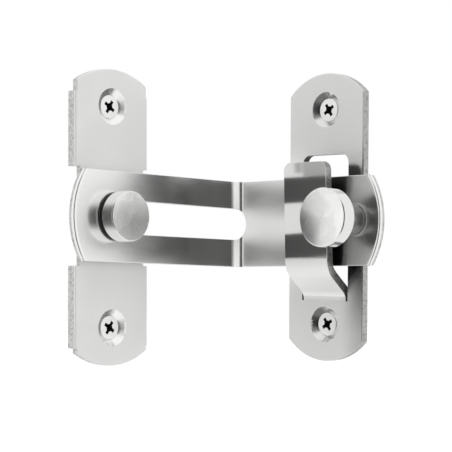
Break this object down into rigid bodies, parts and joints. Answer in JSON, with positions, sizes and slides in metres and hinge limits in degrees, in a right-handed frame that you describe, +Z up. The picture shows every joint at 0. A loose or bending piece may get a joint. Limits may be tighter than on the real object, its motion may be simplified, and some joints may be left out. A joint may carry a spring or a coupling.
{
  "type": "sliding bolt",
  "caption": "Right-angle sliding latch: a slotted, bent steel hasp rides on a headed stud and lifts by its knob out of the hook of a keeper plate.",
  "frame": {"origin": "on the stud's axis, in the plane of the wall that the stud plate is screwed to", "axes": "+Z up along both plates, +Y into the stud plate's wall, +X into the keeper plate's wall"},
  "size_m": [0.1036, 0.0897, 0.1005],
  "materials": {
    "plate_steel": "stainless sheet, fine satin",
    "strap_steel": "stainless strap, polished satin",
    "turned_steel": "stainless, lathe turned",
    "screw_steel": "stainless, tumbled",
    "black_nylon": "black nylon, moulded"
  },
  "bodies": {
    "base": {"stud_plate": "plate_steel", "stud": "turned_steel", "stud_plate_screws": "screw_steel", "keeper_plate": "plate_steel", "keeper_plate_screws": "screw_steel"},
    "pivot": {"stud_washer": "black_nylon"},
    "hasp": {"hasp": "strap_steel", "knob": "turned_steel"}
  },
  "joints": [
    {"name": "hasp_lift", "type": "hinge", "parent": "base", "child": "pivot", "pos_m": [0, 0, 0], "axis": [0, -1, 0], "range_deg": [0, 180]},
    {"name": "hasp_slide", "type": "slide", "parent": "pivot", "child": "hasp", "axis": [0.9998, 0, -0.0216], "range_m": [-0.05, 0]}
  ],
  "couplings": [
    {"joint": "hasp_slide", "follows": "hasp_lift", "m_per_rad": -0.0022}
  ]
}
